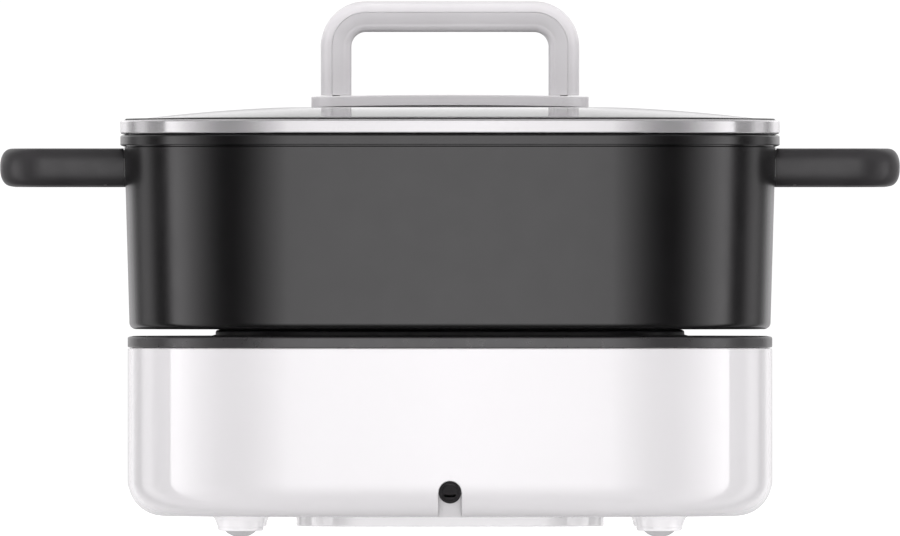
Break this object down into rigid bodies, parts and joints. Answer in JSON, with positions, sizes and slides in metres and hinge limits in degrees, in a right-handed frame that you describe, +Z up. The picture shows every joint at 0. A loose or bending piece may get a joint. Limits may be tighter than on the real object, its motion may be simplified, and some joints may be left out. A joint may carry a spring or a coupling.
{
  "type": "electric hot pot",
  "caption": "Split electric hot pot: a white heating base with a control knob, a lift-out black rounded-square pot with two loop handles, and a domed glass lid with a bar grip.",
  "frame": {"origin": "on the surface that the feet stand on, under the middle of the base", "axes": "+Z up, +X towards the right pot handle as seen from the cord side, +Y towards the control knob, -Y towards the cord outlet"},
  "size_m": [0.38, 0.2778, 0.2263],
  "materials": {
    "white_plastic": "glossy",
    "black_plastic": "satin",
    "sheet_steel": "plain",
    "rubber": "matt",
    "cast_aluminium": "dark matt coating",
    "element_steel": "oxidised",
    "silicone": "matt",
    "ceramic": "matt",
    "light_guide": "frosted",
    "board_green": "satin",
    "relay_blue": "satin",
    "tape_yellow": "satin",
    "wire_red": "satin",
    "non_stick": "dark non-stick coating",
    "handle_phenolic": "satin",
    "lid_glass": "clear",
    "polished_steel": "polished",
    "grip_plastic": "satin"
  },
  "bodies": {
    "base": {"base_housing": "white_plastic", "bottom_cover": "white_plastic", "top_panel": "black_plastic", "housing_screw_front_right": "sheet_steel", "housing_screw_front_left": "sheet_steel", "housing_screw_rear_left": "sheet_steel", "housing_screw_rear_right": "sheet_steel", "shield_screw_right": "sheet_steel", "shield_screw_front": "sheet_steel", "shield_screw_left": "sheet_steel", "shield_screw_rear": "sheet_steel", "board_screw_right": "sheet_steel", "board_screw_left": "sheet_steel", "switch_nut": "sheet_steel", "sensor_spring": "sheet_steel", "heat_shield": "sheet_steel", "foot_pad_front_right": "rubber", "foot_pad_front_left": "rubber", "foot_pad_rear_left": "rubber", "foot_pad_rear_right": "rubber", "heating_plate": "cast_aluminium", "heating_element": "element_steel", "plate_seal": "silicone", "cord_gland": "silicone", "sensor_guide": "ceramic", "thermostat": "ceramic", "thermal_fuse": "ceramic", "rotary_switch": "black_plastic", "terminal_block": "black_plastic", "capacitor": "black_plastic", "switch_lead": "black_plastic", "indicator_ring": "light_guide", "circuit_board": "board_green", "relay": "relay_blue", "transformer": "tape_yellow", "heater_lead_left": "wire_red", "heater_lead_right": "wire_red"},
    "sensor": {"sensor_cap": "cast_aluminium", "sensor_clip": "sheet_steel"},
    "dial": {"control_knob": "black_plastic", "switch_shaft": "sheet_steel"},
    "pot": {"pot_body": "non_stick", "pot_handle_left": "handle_phenolic", "pot_handle_right": "handle_phenolic", "handle_screw_left_rear": "sheet_steel", "handle_screw_left_front": "sheet_steel", "handle_screw_right_rear": "sheet_steel", "handle_screw_right_front": "sheet_steel"},
    "lid": {"lid_glass": "lid_glass", "lid_rim": "polished_steel", "lid_screw_left": "polished_steel", "lid_screw_right": "polished_steel", "steam_vent": "polished_steel", "lid_handle_grip": "grip_plastic", "lid_handle_plate": "grip_plastic", "lid_handle_gasket": "silicone", "lid_washer_left": "silicone", "lid_washer_right": "silicone", "grip_screw_left": "sheet_steel", "grip_screw_right": "sheet_steel"}
  },
  "joints": [
    {"name": "pot_lift", "type": "slide", "parent": "base", "child": "pot", "axis": [0, 0, 1], "range_m": [0, 0.12]},
    {"name": "lid_lift", "type": "slide", "parent": "pot", "child": "lid", "axis": [0, 0, 1], "range_m": [0, 0.1]},
    {"name": "knob_turn", "type": "hinge", "parent": "base", "child": "dial", "pos_m": [0, 0.13, 0.0445], "axis": [0, -1, 0], "range_deg": [0, 270]},
    {"name": "sensor_press", "type": "slide", "parent": "base", "child": "sensor", "axis": [0, 0, 1], "range_m": [0, 0.0024], "deforming": ["sensor_spring"]}
  ],
  "couplings": [
    {"joint": "sensor_press", "follows": "pot_lift", "ratio": 0.02}
  ]
}
